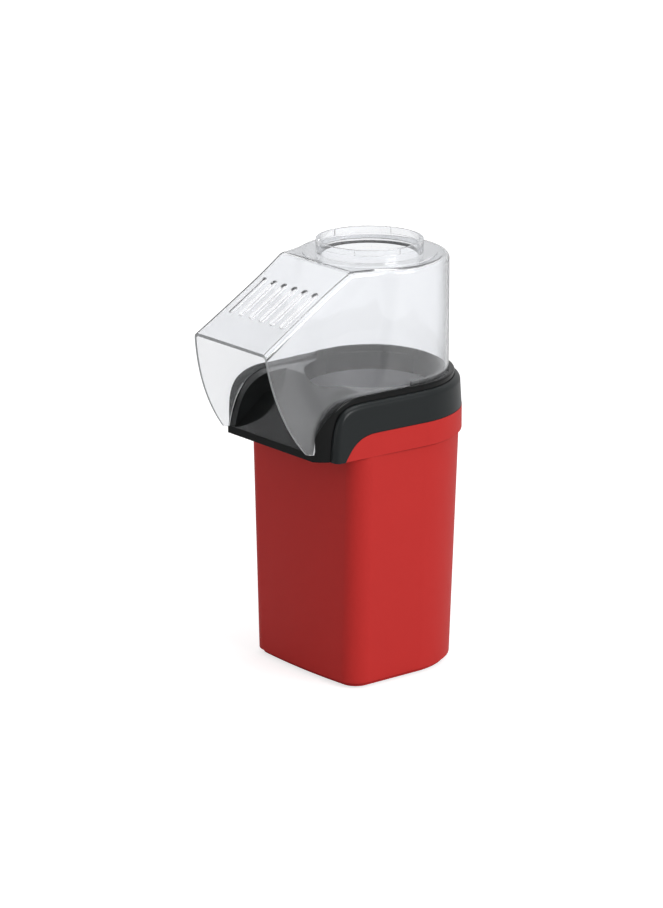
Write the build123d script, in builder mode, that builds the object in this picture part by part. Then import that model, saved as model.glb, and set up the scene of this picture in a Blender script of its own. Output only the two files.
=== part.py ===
from build123d import *
import os
from math import atan2, cos, degrees, radians, sin, sqrt, tan

# Hot-air popcorn maker, in millimetres. +Z is up and -Y is the chute side.
# The origin lies on the table, under the middle of the outer box. The popping chamber,
# the fan and the round back of the housing share one upright line, the chamber axis.

# ---------------------------------------------------------------- driving dimensions
# Feet and base plate
foot_height = 1.2
foot_radius = 6.0
foot_recess = 1.0
foot_inset = 17.0
foot_front = 14.0
foot_back = 22.0
base_thickness = 3.0
base_gap = 0.4
inlet_radius = 32.0
inlet_slot_width = 3.0
inlet_slot_pitch = 6.0

# Crown: the plan that the collar band, shoulder trim and deck tray share. Its half-width
# is also the radius of its round back, and every plan size below follows it.
crown_half = 61.6
nose_draw_in = 3.7
crown_reach = 91.0
crown_bow = 1.0
crown_corner = 24.0
collar_inset = 0.8
collar_flange = 2.0
trim_inner_inset = 5.6
trim_draft = 2.2
trim_edge_round = 4.0
tray_inset = 5.8
tray_wall = 2.6
tray_edge_round = 1.4
lip_thickness = 2.0
fit_gap = 0.2

# Housing shell: how far it stands inside the crown and draws in downwards, and its front
shell_bottom_z = 4.0
shell_top_z = 158.7
shell_step = 2.8
shell_draft = 5.3
shell_bottom_front = 56.2
shell_top_front = 56.7
shell_front_bow = 2.8
shell_corner = 13.0
shell_wall = 2.4

# Rear panel of the shell, with the switch and the cord gland
panel_width = 26.0
panel_bottom_z = 8.0
panel_top_z = 60.0
panel_stand = 4.1

# Brow lines in side view: level height, where the line starts to fall, where it meets
# the lip, and the two handles that round it
tray_brow = (198.6, 50.0, 85.5, 24.0, 3.5, 24.5)
trim_brow = (194.6, 46.0, 74.5, 22.0, 1.0, 32.5)
collar_brow = (174.4, 42.0, 67.5, 14.0, 6.5, 9.5)

# Deck and chute
deck_thickness = 2.6
mouth_ledge = 3.2
mouth_tube_wall = 2.4
chute_inset = 5.8
chute_set_in = 7.0
chute_end_z = 160.8
deck_drop = 2.2
chute_floor = 2.4
rib_height = 4.0
rib_thickness = 1.6
rib_back_y = 6.0
post_gap = 0.7
post_radius = 2.9
post_bottom_z = 151.0
post_angles = (45.0, 135.0, 215.0, 325.0)

# Hood
part_height = 285.0
hood_wall = 2.0
hood_inset = 9.6
hood_front = 115.0
hood_crease = 45.0
hood_fall = 42.6
hood_tip_z = 163.6
hood_tip_y = 87.0
hood_tip_round = 3.0
hood_crease_round = 8.0
hood_edge_round = 4.0
hood_seat_gap = 0.3

# The hood's cheek line: distance ahead, and share of the way up from tip to front edge
hood_cheek = ((110.4, 0.65), (99.6, 0.265))

# Hood plans: share of the way up, and how far each row is drawn in from the hood radius
hood_low_z = 150.0
hood_overshoot = 5.0
hood_rows = (130.0, 88.0, 54.0, 27.0)
hood_draw_in = (
    (0.0, (8.4, 7.5, 1.4, 0.1)),
    (0.351, (11.0, 10.2, 3.4, 0.4)),
    (0.656, (14.6, 14.4, 11.0, 4.5)),
    (1.0, (15.5, 15.5, 15.2, 10.0)),
)

# Step and cap ring on the roof; the cap turns behind pads round the ring's upper bore
step_inset = 8.0
step_height = 1.0
ring_height = 9.0
ring_inset = 16.8
ring_wall = 2.8
pad_height = 4.0
pad_recess = 1.2
pad_step = 0.5
pad_angle = 68.0
pad_start = 30.0
pad_count = 3
vent_count = 6
vent_pitch = 10.6
vent_length = 35.0
vent_width = 4.6
vent_start = 23.5

# Chamber cup and gasket
cup_wall = 0.8
cup_bottom_z = 118.0
cup_round = 5.0
cup_flange_z = 184.0
gasket_thickness = 1.0
louvre_count = 20
louvre_length = 13.0
louvre_width = 2.6
louvre_tilt = 35.0
louvre_rise = 13.0

# Air path: fan housing below, sheet-metal heater duct above
duct_gap = 5.0
duct_wall = 1.0
fan_housing_inset = 4.0
fan_housing_wall = 2.0
fan_housing_top_z = 60.0
ledge_width = 3.0
ledge_thickness = 1.5
heater_drop = 30.0
bracket_ledge_z = 42.0

# Motor and fan
bracket_thickness = 2.0
bracket_rim = 5.0
bracket_hub = 15.0
bracket_arm = 9.0
bracket_bore = 3.0
motor_radius = 14.0
motor_drop = 10.0
end_cap_height = 3.0
board_inset = 0.5
board_thickness = 1.4
diode_size = (6.0, 2.6, 2.2)
diode_circle = 7.0
shaft_radius = 1.15
shaft_bottom_z = 18.0
shaft_end_gap = 2.0
running_gap = 0.05
press_gap = 0.02
impeller_gap = 5.0
impeller_bottom_z = 22.0
impeller_disc_z = 35.0
impeller_disc = 1.5
hub_radius = 5.0
blade_count = 9
blade_circle_inset = 14.5
blade_cut_back = 10.0
blade_thickness = 1.4
blade_lean = 35.0

# Heater
mica_thickness = 0.8
mica_height = 24.0
coil_radii = (24.0, 35.0)
coil_rows = (7.0, 16.0)
coil_tube = 1.6
coil_gap = 0.3
thermostat_radius = 7.0
thermostat_height = 4.0
thermostat_offset = 18.0
fuse_radius = 1.6
fuse_length = 12.0
fuse_start = 6.0
fuse_rise = 12.0

# Switch
switch_z = 44.0
switch_width = 12.6
switch_height = 19.0
switch_depth = 11.0
bezel_margin = 1.4
bezel_thickness = 1.4
cavity_half = 7.9
cavity_depth = 8.0
rocker_width = 8.0
rocker_half = 6.6
rocker_end = 6.2
rocker_middle = 4.8
rocker_back = 1.5
rocker_pivot_depth = 5.4
rocker_pin_radius = 1.0
rocker_pin_length = 11.0
rocker_gap = 0.3
rocker_tilt = 9.0
terminal_size = (0.8, 4.8, 6.0)
terminal_half_pitch = 3.0

# Cord gland
gland_z = 19.0
gland_flange_radius = 7.5
gland_flange = 2.0
gland_barrel_radius = 5.0
gland_bore = 3.2
gland_length = 10.6
nut_radius = 7.0
nut_thickness = 3.0

# Screws and bosses
screw_radius = 1.5
screw_head_radius = 2.8
screw_head = 1.6
base_head_radius = 2.2
thread_gap = 0.05
base_screw_length = 10.0
deck_screw_length = 20.0
boss_radius = 3.6
boss_height = 12.0
base_boss_front = 24.0
base_boss_angles = (45.0, 135.0)
boss_set_in = 3.4
small_screw_radius = 0.9
small_head_radius = 1.4
small_head = 1.0
small_screw_length = 3.5
motor_screw_spread = 8.0
motor_screw_length = 5.0

# ---------------------------------------------------------------- derived places
axis_y = (hood_front - crown_half + collar_inset) / 2
crown_nose_half = crown_half - nose_draw_in
shell_top_half = crown_half - shell_step
shell_bottom_half = shell_top_half - shell_draft
panel_reach = shell_bottom_half + panel_stand
hood_radius = crown_half - hood_inset
hood_roof_z = part_height - ring_height
hood_edge_z = hood_roof_z - hood_fall
hood_rise = hood_roof_z + hood_overshoot - hood_low_z
step_radius = hood_radius - step_inset
ring_radius = hood_radius - ring_inset
ring_bore = ring_radius - ring_wall
duct_radius = hood_radius - duct_gap
chute_start_y = duct_radius - chute_set_in
mouth_radius = duct_radius - mouth_ledge
chute_half = mouth_radius - chute_inset
post_circle = duct_radius + post_gap + post_radius
fan_housing_radius = duct_radius - fan_housing_inset
base_top_z = foot_height + base_thickness
cup_top_z = cup_flange_z + cup_wall
duct_top_z = cup_flange_z - gasket_thickness
louvre_z = cup_bottom_z + louvre_rise
heater_ledge_z = cup_bottom_z - heater_drop
motor_top_z = heater_ledge_z - motor_drop
deck_z = tray_brow[0] - deck_drop
duct_inner = duct_radius - duct_wall
fan_inner = fan_housing_radius - fan_housing_wall
impeller_radius = fan_inner - impeller_gap
blade_circle = impeller_radius - blade_circle_inset
blade_length = impeller_radius - blade_cut_back
bracket_top_z = bracket_ledge_z + bracket_thickness
margin = 5.0
span = crown_half + margin
side_plane = Plane(origin=(0, axis_y, 0), x_dir=(0, 1, 0), z_dir=(1, 0, 0))

os.makedirs("parts", exist_ok=True)


def level(z):
    """The horizontal plane at height z, centred on the chamber axis."""
    return Plane(origin=(0, axis_y, z))


def rear_plane(z):
    """The upright plane through the chamber axis at height z, facing the back."""
    return Plane(origin=(0, axis_y, z), x_dir=(-1, 0, 0), z_dir=(0, 1, 0))


def save(built, name):
    """Label a finished piece and write it."""
    built.part.label = name
    export_step(built.part, f"parts/{name}.step")


def polar(radius, angle):
    """A point on a circle about the chamber axis."""
    return radius * cos(radians(angle)), radius * sin(radians(angle))


def rounded_plan(z, half, nose_half, front, bow, corner):
    """A plan with a round back, straight sides and a slightly bowed front."""
    with BuildSketch(level(z)) as plan:
        with BuildLine():
            Line((half, 0), (nose_half, -front))
            ThreePointArc((nose_half, -front), (0, -front - bow), (-nose_half, -front))
            Line((-nose_half, -front), (-half, 0))
            ThreePointArc((-half, 0), (0, half), (half, 0))
        make_face()
        fillet(plan.vertices().group_by(Axis.Y)[0], corner)
    return plan.sketch


def shell_half(z):
    """The housing's half-width at height z."""
    return shell_bottom_half + shell_draft * (z - shell_bottom_z) / (shell_top_z - shell_bottom_z)


def shell_plan(z, inset=0.0):
    """The housing's plan at height z; a negative inset grows it."""
    rise = (z - shell_bottom_z) / (shell_top_z - shell_bottom_z)
    half = shell_half(z) - inset
    front = shell_bottom_front + (shell_top_front - shell_bottom_front) * rise - inset
    return rounded_plan(z, half, half, front, shell_front_bow, shell_corner - inset)


def crown_plan(z, inset=0.0):
    """The crown's plan, moved inwards by the inset."""
    return rounded_plan(
        z,
        crown_half - inset,
        crown_nose_half - inset,
        crown_reach - inset,
        crown_bow,
        crown_corner - inset,
    )


def below_brow(brow, inward=0.0):
    """Side view of all that lies below a brow line, moved down and back by inward."""
    brow_z, start, foot, shoulder, lean, drop = brow
    top_z = brow_z - inward
    lip_z = shell_top_z - inward
    start_y = inward - start
    foot_y = inward - foot
    floor_z = lip_z - margin
    with BuildSketch(side_plane) as region:
        with BuildLine():
            Bezier(
                (start_y, top_z),
                (start_y - shoulder, top_z),
                (foot_y + lean, lip_z + drop),
                (foot_y, lip_z),
            )
            Polyline(
                (foot_y, lip_z), (foot_y, floor_z), (span, floor_z), (span, top_z), (start_y, top_z)
            )
        make_face()
    return region.sketch


def hood_plan(z, drawn_in, inset=0.0):
    """The hood's plan: a round back whose sides are drawn in at the rows ahead."""
    back = hood_radius - inset
    right = [(back - drawn, -row) for drawn, row in zip(drawn_in, hood_rows)] + [(back, 0)]
    left = [(-x, y) for x, y in reversed(right)]
    with BuildSketch(level(z)) as plan:
        with BuildLine():
            Spline(*right, tangents=((0, 1), (0, 1)))
            ThreePointArc((back, 0), (0, back), (-back, 0))
            Spline(*left, tangents=((0, -1), (0, -1)))
            Line(left[-1], right[0])
        make_face()
    return plan.sketch


def hood_sections(inset=0.0):
    """The plans that the hood's walls pass through, from below its tip upwards."""
    return [
        hood_plan(hood_low_z + share * hood_rise, drawn_in, inset)
        for share, drawn_in in hood_draw_in
    ]


def lengthwise(edges):
    """The edges that don't run straight across the part."""
    return [
        edge
        for edge in edges
        if not (edge.geom_type == GeomType.LINE and abs(edge.tangent_at(0.5).X) > 0.9)
    ]


def upper_rim(block):
    """The edges round a block's upward faces, except straight ones across the part."""
    upward = [face for face in block.faces() if face.normal_at().Z > 0.1]
    return lengthwise([edge for face in upward for edge in face.edges()])


def screw_set(name, spots, seat_z, head, shank, up=1):
    """Pan-head screws with heads (radius, height) under or over seat_z and shanks beyond."""
    head_radius, head_height = head
    shank_radius, shank_length = shank
    with BuildPart() as screws:
        with BuildSketch(level(seat_z)):
            with Locations(spots):
                Circle(head_radius)
        extrude(amount=-up * head_height)
        with BuildSketch(level(seat_z)):
            with Locations(spots):
                Circle(shank_radius)
        extrude(amount=up * shank_length)
    save(screws, name)


# ---------------------------------------------------------------- base
foot_spots = [
    (side * (shell_bottom_half - foot_inset), y)
    for side in (-1, 1)
    for y in (foot_front - shell_bottom_front, foot_back)
]
base_boss_circle = shell_bottom_half - shell_wall - boss_set_in
base_boss_spots = [
    (side * base_boss_circle, base_boss_front - shell_bottom_front) for side in (-1, 1)
] + [polar(base_boss_circle, angle) for angle in base_boss_angles]
post_spots = [polar(post_circle, angle) for angle in post_angles]

with BuildPart() as base_plate:
    extrude(shell_plan(foot_height, shell_wall + base_gap), amount=base_thickness)
    with BuildSketch(level(foot_height)):
        with Locations(foot_spots):
            Circle(foot_radius)
    extrude(amount=foot_recess, mode=Mode.SUBTRACT)
    with BuildSketch(level(foot_height)):
        slot_rows = int((inlet_radius - inlet_slot_width) / inlet_slot_pitch)
        for row in range(-slot_rows, slot_rows + 1):
            offset_x = row * inlet_slot_pitch
            chord = 2 * sqrt(inlet_radius**2 - offset_x**2)
            with Locations((offset_x, 0)):
                SlotOverall(chord, inlet_slot_width, rotation=90)
        Rectangle(2 * span, 2 * inlet_slot_width, mode=Mode.SUBTRACT)
    extrude(amount=base_thickness, mode=Mode.SUBTRACT)
    with BuildSketch(level(foot_height)):
        with Locations(base_boss_spots):
            Circle(screw_radius + fit_gap)
    extrude(amount=base_thickness, mode=Mode.SUBTRACT)
    with BuildSketch(level(foot_height)):
        with Locations(base_boss_spots):
            Circle(base_head_radius + fit_gap)
    extrude(amount=screw_head, mode=Mode.SUBTRACT)
save(base_plate, "base_plate")

with BuildPart() as rubber_feet:
    with BuildSketch(level(0)):
        with Locations(foot_spots):
            Circle(foot_radius)
    extrude(amount=foot_height + foot_recess)
save(rubber_feet, "rubber_feet")

screw_set(
    "base_screws",
    base_boss_spots,
    foot_height + screw_head,
    (base_head_radius, screw_head),
    (screw_radius, base_screw_length),
)

# ---------------------------------------------------------------- housing shell
deck_boss_z = post_bottom_z - boss_height
shell_core = [
    shell_plan(shell_bottom_z, shell_wall / 2),
    shell_plan(shell_top_z, shell_wall / 2),
]
with BuildPart() as deck_bosses:
    with BuildSketch(level(deck_boss_z)):
        with Locations(post_spots):
            Circle(boss_radius)
        for angle in post_angles:
            with PolarLocations(post_circle, 1, start_angle=angle):
                Rectangle(span, boss_radius, align=(Align.MIN, Align.CENTER))
        with Locations(post_spots):
            Circle(screw_radius + fit_gap, mode=Mode.SUBTRACT)
    extrude(amount=boss_height)
    loft(shell_core, mode=Mode.INTERSECT)

with BuildPart() as base_bosses:
    with BuildSketch(level(base_top_z)):
        with Locations(base_boss_spots):
            Circle(boss_radius)
            Circle(screw_radius + thread_gap, mode=Mode.SUBTRACT)
    extrude(amount=boss_height)
    loft(shell_core, mode=Mode.INTERSECT)

with BuildPart() as housing_shell:
    loft([shell_plan(shell_bottom_z), shell_plan(shell_top_z)])
    with BuildSketch(level(panel_bottom_z)):
        Rectangle(panel_width, panel_reach, align=(Align.CENTER, Align.MIN))
    extrude(amount=panel_top_z - panel_bottom_z)
    loft(
        [
            shell_plan(shell_bottom_z - margin, shell_wall),
            shell_plan(shell_top_z + margin, shell_wall),
        ],
        mode=Mode.SUBTRACT,
    )
    add(deck_bosses.part)
    add(base_bosses.part)
    with BuildSketch(rear_plane(switch_z)):
        Rectangle(switch_width + 2 * fit_gap, switch_height + 2 * fit_gap)
    extrude(amount=span, mode=Mode.SUBTRACT)
    with BuildSketch(rear_plane(gland_z)):
        Circle(gland_barrel_radius + fit_gap)
    extrude(amount=span, mode=Mode.SUBTRACT)
save(housing_shell, "housing_shell")

# ---------------------------------------------------------------- crown
crown_rise = tray_brow[0] - shell_top_z
with BuildPart() as collar_band:
    extrude(crown_plan(shell_top_z, collar_inset), amount=crown_rise)
    extrude(crown_plan(shell_top_z, trim_inner_inset), amount=crown_rise, mode=Mode.SUBTRACT)
    collar_hollow = crown_plan(shell_top_z + collar_flange, collar_inset + shell_wall)
    extrude(collar_hollow, amount=crown_rise, mode=Mode.SUBTRACT)
    extrude(below_brow(collar_brow, fit_gap), amount=span, both=True, mode=Mode.INTERSECT)
save(collar_band, "collar_band")

with BuildPart() as shoulder_trim:
    loft([crown_plan(shell_top_z), crown_plan(trim_brow[0], trim_draft)])
    extrude(below_brow(trim_brow), amount=span, both=True, mode=Mode.INTERSECT)
    fillet(upper_rim(shoulder_trim), trim_edge_round)
    extrude(crown_plan(shell_top_z, trim_inner_inset), amount=crown_rise, mode=Mode.SUBTRACT)
    extrude(below_brow(collar_brow), amount=span, both=True, mode=Mode.SUBTRACT)
save(shoulder_trim, "shoulder_trim")

# ---------------------------------------------------------------- deck tray
chute_slope = (deck_z - chute_end_z) / (tray_brow[2] - chute_start_y)
slab_drop = chute_floor * sqrt(1 + chute_slope**2)


def chute_z(y):
    """Height of the chute floor at y from the chamber axis."""
    return deck_z + chute_slope * (chute_start_y + y)


def chute_side(upper, lower):
    """Side view of the band from lower below the chute floor to a level line above it."""
    front_y = -crown_reach
    with BuildSketch(side_plane) as band:
        with BuildLine():
            Polyline(
                (-chute_start_y, upper),
                (front_y, upper),
                (front_y, chute_z(front_y) - lower),
                (-chute_start_y, chute_z(-chute_start_y) - lower),
                close=True,
            )
        make_face()
    return band.sketch


with BuildPart() as tray_hollow:
    extrude(crown_plan(shell_top_z - margin, tray_inset + tray_wall), amount=deck_z)
    tray_ceiling = below_brow(tray_brow, deck_drop + deck_thickness)
    extrude(tray_ceiling, amount=span, both=True, mode=Mode.INTERSECT)

with BuildPart() as deck_pocket:
    extrude(hood_plan(shell_top_z - margin, hood_draw_in[0][1], -fit_gap), amount=deck_z)
    extrude(below_brow(tray_brow, deck_drop), amount=span, both=True, mode=Mode.SUBTRACT)

with BuildPart() as tray_form:
    extrude(crown_plan(shell_top_z, tray_inset), amount=crown_rise)
    extrude(below_brow(tray_brow), amount=span, both=True, mode=Mode.INTERSECT)
    fillet(upper_rim(tray_form), tray_edge_round)

with BuildPart() as chute_block:
    extrude(chute_side(tray_brow[0], slab_drop), amount=chute_half + chute_floor, both=True)
    add(tray_form.part, mode=Mode.INTERSECT)

with BuildPart() as deck_tray:
    add(tray_form.part)
    add(tray_hollow.part, mode=Mode.SUBTRACT)
    add(chute_block.part)
    # The underside of the lip closes the crown ahead of the shell.
    extrude(crown_plan(shell_top_z, tray_inset + tray_wall / 2), amount=lip_thickness)
    extrude(
        shell_plan(shell_top_z, -fit_gap), amount=lip_thickness + fit_gap, mode=Mode.SUBTRACT
    )
    with BuildSketch(level(cup_top_z)):
        Circle(mouth_radius + mouth_tube_wall)
    extrude(amount=deck_z - cup_top_z)
    extrude(chute_side(deck_z + margin, 0), amount=chute_half, both=True, mode=Mode.SUBTRACT)
    add(deck_pocket.part, mode=Mode.SUBTRACT)
    with BuildSketch(level(cup_top_z)):
        Circle(mouth_radius)
    extrude(amount=span, mode=Mode.SUBTRACT)
    with BuildSketch(level(post_bottom_z)):
        with Locations(post_spots):
            Circle(post_radius)
    extrude(amount=deck_z - post_bottom_z)
    with BuildSketch(level(post_bottom_z)):
        with Locations(post_spots):
            Circle(screw_radius + thread_gap)
    extrude(amount=deck_screw_length - boss_height, mode=Mode.SUBTRACT)
    rib_radius = hood_radius - hood_wall - 2 * fit_gap
    with BuildSketch(level(deck_z)):
        Circle(rib_radius)
        Circle(rib_radius - rib_thickness, mode=Mode.SUBTRACT)
        with Locations((0, -rib_back_y)):
            Rectangle(2 * span, 2 * span, align=(Align.CENTER, Align.MAX), mode=Mode.SUBTRACT)
    extrude(amount=rib_height)
save(deck_tray, "deck_tray")

screw_set(
    "deck_screws",
    post_spots,
    deck_boss_z,
    (screw_head_radius, screw_head),
    (screw_radius, deck_screw_length),
)

# ---------------------------------------------------------------- hood
slope_tilt = degrees(atan2(hood_fall, hood_front - hood_crease))


def hood_block(inset):
    """The hood's solid form, moved inwards by the inset, with crease and upper edges round."""
    roof_z = hood_roof_z - inset
    crease_y = inset * tan(radians(slope_tilt / 2)) - hood_crease
    reach = hood_rows[0]
    front_z = roof_z - (reach + crease_y) * tan(radians(slope_tilt))
    with BuildPart() as block:
        loft(hood_sections(inset))
        with BuildSketch(side_plane) as side:
            with BuildLine():
                Polyline(
                    (hood_radius, roof_z),
                    (crease_y, roof_z),
                    (-reach, front_z),
                    (-reach, hood_low_z),
                    (hood_radius, hood_low_z),
                    close=True,
                )
            make_face()
            crease = side.vertices().sort_by_distance((crease_y, roof_z, 0))[0]
            fillet(crease, hood_crease_round - inset)
        extrude(amount=span, both=True, mode=Mode.INTERSECT)
        fillet(upper_rim(block), hood_edge_round - inset)
    return block.part


slope_plane = Plane(
    origin=(0, axis_y - hood_front, hood_edge_z),
    x_dir=(1, 0, 0),
    z_dir=(0, -sin(radians(slope_tilt)), cos(radians(slope_tilt))),
)
cheek_rise = hood_edge_z - hood_tip_z
with BuildPart() as hood:
    add(hood_block(0.0))
    with BuildSketch(side_plane):
        with BuildLine():
            Polyline(
                (-hood_tip_y, hood_tip_z),
                (hood_radius + margin, hood_tip_z),
                (hood_radius + margin, part_height),
                (-hood_front, part_height),
                (-hood_front, hood_edge_z),
            )
            Spline(
                (-hood_front, hood_edge_z),
                *[(-y, hood_tip_z + share * cheek_rise) for y, share in hood_cheek],
                (-hood_tip_y, hood_tip_z),
            )
        make_face()
    extrude(amount=span, both=True, mode=Mode.INTERSECT)
    add(hood_block(hood_wall), mode=Mode.SUBTRACT)
    seat_line = below_brow(tray_brow, deck_drop - hood_seat_gap)
    extrude(seat_line, amount=span, both=True, mode=Mode.SUBTRACT)
    tip_edges = [
        edge
        for edge in hood.edges().filter_by(Axis.X)
        if abs(edge.center().Z - hood_tip_z) < hood_seat_gap and edge.length < 2 * hood_wall
    ]
    fillet(tip_edges, hood_tip_round)
    with BuildSketch(level(hood_roof_z)):
        Circle(step_radius)
    extrude(amount=step_height)
    with BuildSketch(level(hood_roof_z)):
        Circle(ring_radius)
    extrude(amount=ring_height)
    with BuildSketch(level(hood_roof_z - margin)):
        Circle(ring_bore)
    extrude(amount=part_height, mode=Mode.SUBTRACT)
    with BuildSketch(level(part_height)):
        Circle(ring_bore + pad_recess)
    extrude(amount=-pad_height, mode=Mode.SUBTRACT)
    with BuildSketch(level(part_height)):
        pad_half = ring_radius * tan(radians(pad_angle / 2))
        with PolarLocations(0, pad_count, start_angle=pad_start):
            Polygon((0, 0), (ring_radius, -pad_half), (ring_radius, pad_half), align=None)
        Circle((ring_bore + ring_radius) / 2, mode=Mode.INTERSECT)
        Circle(ring_bore + pad_step, mode=Mode.SUBTRACT)
    extrude(amount=-pad_height)
    with BuildSketch(slope_plane):
        with Locations((0, vent_start + vent_length / 2)):
            with GridLocations(vent_pitch, 0, vent_count, 1):
                SlotOverall(vent_length, vent_width, rotation=90)
    extrude(amount=margin, both=True, mode=Mode.SUBTRACT)
save(hood, "hood")

# ---------------------------------------------------------------- chamber
with BuildPart() as cup_space:
    with BuildSketch(level(cup_bottom_z + cup_wall)):
        Circle(mouth_radius)
    extrude(amount=cup_top_z - cup_bottom_z)
    fillet(cup_space.edges().group_by(Axis.Z)[0], cup_round)

with BuildPart() as chamber_cup:
    with BuildSketch(level(cup_bottom_z)):
        Circle(mouth_radius + cup_wall)
    extrude(amount=cup_flange_z - cup_bottom_z)
    fillet(chamber_cup.edges().group_by(Axis.Z)[0], cup_round + cup_wall)
    with BuildSketch(level(cup_flange_z)):
        Circle(duct_radius)
    extrude(amount=cup_wall)
    add(cup_space.part, mode=Mode.SUBTRACT)
    for turn in range(louvre_count):
        angle = turn * 360 / louvre_count
        x, y = polar(mouth_radius, angle)
        wall_plane = Plane(
            origin=(x, axis_y + y, louvre_z),
            x_dir=(-sin(radians(angle)), cos(radians(angle)), 0),
            z_dir=(cos(radians(angle)), sin(radians(angle)), 0),
        )
        with BuildSketch(wall_plane):
            SlotOverall(louvre_length, louvre_width, rotation=louvre_tilt)
        extrude(amount=margin, both=True, mode=Mode.SUBTRACT)
save(chamber_cup, "chamber_cup")

with BuildPart() as cup_gasket:
    with BuildSketch(level(duct_top_z)):
        Circle(duct_radius)
        Circle(mouth_radius + cup_wall + fit_gap, mode=Mode.SUBTRACT)
    extrude(amount=gasket_thickness)
save(cup_gasket, "cup_gasket")

# ---------------------------------------------------------------- air path
with BuildPart() as fan_housing:
    with BuildSketch(level(base_top_z)):
        Circle(fan_housing_radius)
        Circle(fan_inner, mode=Mode.SUBTRACT)
    extrude(amount=fan_housing_top_z - base_top_z)
    with BuildSketch(level(fan_housing_top_z)):
        Circle(duct_radius)
        Circle(fan_inner, mode=Mode.SUBTRACT)
    extrude(amount=-fan_housing_wall)
    with BuildSketch(level(bracket_ledge_z)):
        Circle(fan_inner)
        Circle(fan_inner - ledge_width, mode=Mode.SUBTRACT)
        with PolarLocations(fan_inner - ledge_width / 2, 4, start_angle=45):
            Circle(small_screw_radius + thread_gap, mode=Mode.SUBTRACT)
    extrude(amount=-ledge_thickness)
save(fan_housing, "fan_housing")

with BuildPart() as heater_duct:
    with BuildSketch(level(fan_housing_top_z)):
        Circle(duct_radius)
        Circle(duct_inner, mode=Mode.SUBTRACT)
    extrude(amount=duct_top_z - fan_housing_top_z)
    with BuildSketch(level(heater_ledge_z)):
        Circle(duct_inner)
        Circle(duct_inner - ledge_width, mode=Mode.SUBTRACT)
    extrude(amount=-ledge_thickness)
save(heater_duct, "heater_duct")

# ---------------------------------------------------------------- motor and fan
bracket_radius = fan_inner - fit_gap
small_screw_circle = fan_inner - ledge_width / 2
with BuildPart() as motor_bracket:
    with BuildSketch(level(bracket_ledge_z)):
        Circle(bracket_radius)
        Circle(bracket_radius - bracket_rim, mode=Mode.SUBTRACT)
        Circle(bracket_hub)
        Rectangle(2 * bracket_radius - bracket_rim, bracket_arm)
        Rectangle(bracket_arm, 2 * bracket_radius - bracket_rim)
        Circle(bracket_bore, mode=Mode.SUBTRACT)
        with GridLocations(2 * motor_screw_spread, 0, 2, 1):
            Circle(screw_radius + fit_gap, mode=Mode.SUBTRACT)
        with PolarLocations(small_screw_circle, 4, start_angle=45):
            Circle(small_screw_radius + fit_gap, mode=Mode.SUBTRACT)
    extrude(amount=bracket_thickness)
save(motor_bracket, "motor_bracket")

screw_set(
    "bracket_screws",
    [polar(small_screw_circle, 45 + 90 * turn) for turn in range(4)],
    bracket_top_z,
    (small_head_radius, small_head),
    (small_screw_radius, small_screw_length),
    up=-1,
)

motor_screw_spots = [(side * motor_screw_spread, 0) for side in (-1, 1)]
with BuildPart() as motor_can:
    with BuildSketch(level(bracket_top_z)):
        Circle(motor_radius)
    extrude(amount=motor_top_z - bracket_top_z)
    with BuildSketch(level(bracket_top_z)):
        Circle(shaft_radius + running_gap)
    extrude(amount=motor_top_z - bracket_top_z, mode=Mode.SUBTRACT)
    with BuildSketch(level(bracket_top_z)):
        with Locations(motor_screw_spots):
            Circle(screw_radius + thread_gap)
    extrude(amount=motor_screw_length, mode=Mode.SUBTRACT)
save(motor_can, "motor_can")

screw_set(
    "motor_screws",
    motor_screw_spots,
    bracket_ledge_z,
    (screw_head_radius, screw_head),
    (screw_radius, motor_screw_length),
)

end_cap_top_z = motor_top_z + end_cap_height
with BuildPart() as motor_end_cap:
    with BuildSketch(level(motor_top_z)):
        Circle(motor_radius)
    extrude(amount=end_cap_height)
save(motor_end_cap, "motor_end_cap")

with BuildPart() as rectifier_board:
    with BuildSketch(level(end_cap_top_z)):
        Circle(motor_radius - board_inset)
    extrude(amount=board_thickness)
save(rectifier_board, "rectifier_board")

diode_length, diode_width, diode_height = diode_size
with BuildPart() as rectifier_diodes:
    with BuildSketch(level(end_cap_top_z + board_thickness)):
        with PolarLocations(diode_circle, 4):
            Rectangle(diode_width, diode_length)
    extrude(amount=diode_height)
save(rectifier_diodes, "rectifier_diodes")

with BuildPart() as motor_shaft:
    with BuildSketch(level(shaft_bottom_z)):
        Circle(shaft_radius)
    extrude(amount=motor_top_z - shaft_end_gap - shaft_bottom_z)
save(motor_shaft, "motor_shaft")

with BuildPart() as fan_impeller:
    with BuildSketch(level(impeller_bottom_z)):
        Circle(hub_radius)
        with PolarLocations(blade_circle, blade_count):
            SlotOverall(blade_length, blade_thickness, rotation=blade_lean)
    extrude(amount=impeller_disc_z - impeller_bottom_z)
    with BuildSketch(level(impeller_disc_z)):
        Circle(impeller_radius)
    extrude(amount=impeller_disc)
    with BuildSketch(level(impeller_bottom_z)):
        Circle(shaft_radius + press_gap)
    extrude(amount=impeller_disc_z, mode=Mode.SUBTRACT)
save(fan_impeller, "fan_impeller")

# ---------------------------------------------------------------- heater
with BuildPart() as mica_frame:
    with BuildSketch(level(heater_ledge_z)):
        Rectangle(2 * (duct_inner - fit_gap), mica_thickness)
        Rectangle(mica_thickness, 2 * (duct_inner - fit_gap))
    extrude(amount=mica_height)
    for row in coil_rows:
        for radius in coil_radii:
            with Locations(level(heater_ledge_z + row)):
                Torus(radius, coil_tube + coil_gap, mode=Mode.SUBTRACT)
save(mica_frame, "mica_frame")

with BuildPart() as heating_coils:
    for row in coil_rows:
        for radius in coil_radii:
            with Locations(level(heater_ledge_z + row)):
                Torus(radius, coil_tube)
save(heating_coils, "heating_coils")

with BuildPart() as thermostat:
    with BuildSketch(level(cup_bottom_z)):
        with Locations(polar(thermostat_offset, 45)):
            Circle(thermostat_radius)
    extrude(amount=-thermostat_height)
save(thermostat, "thermostat")

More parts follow.
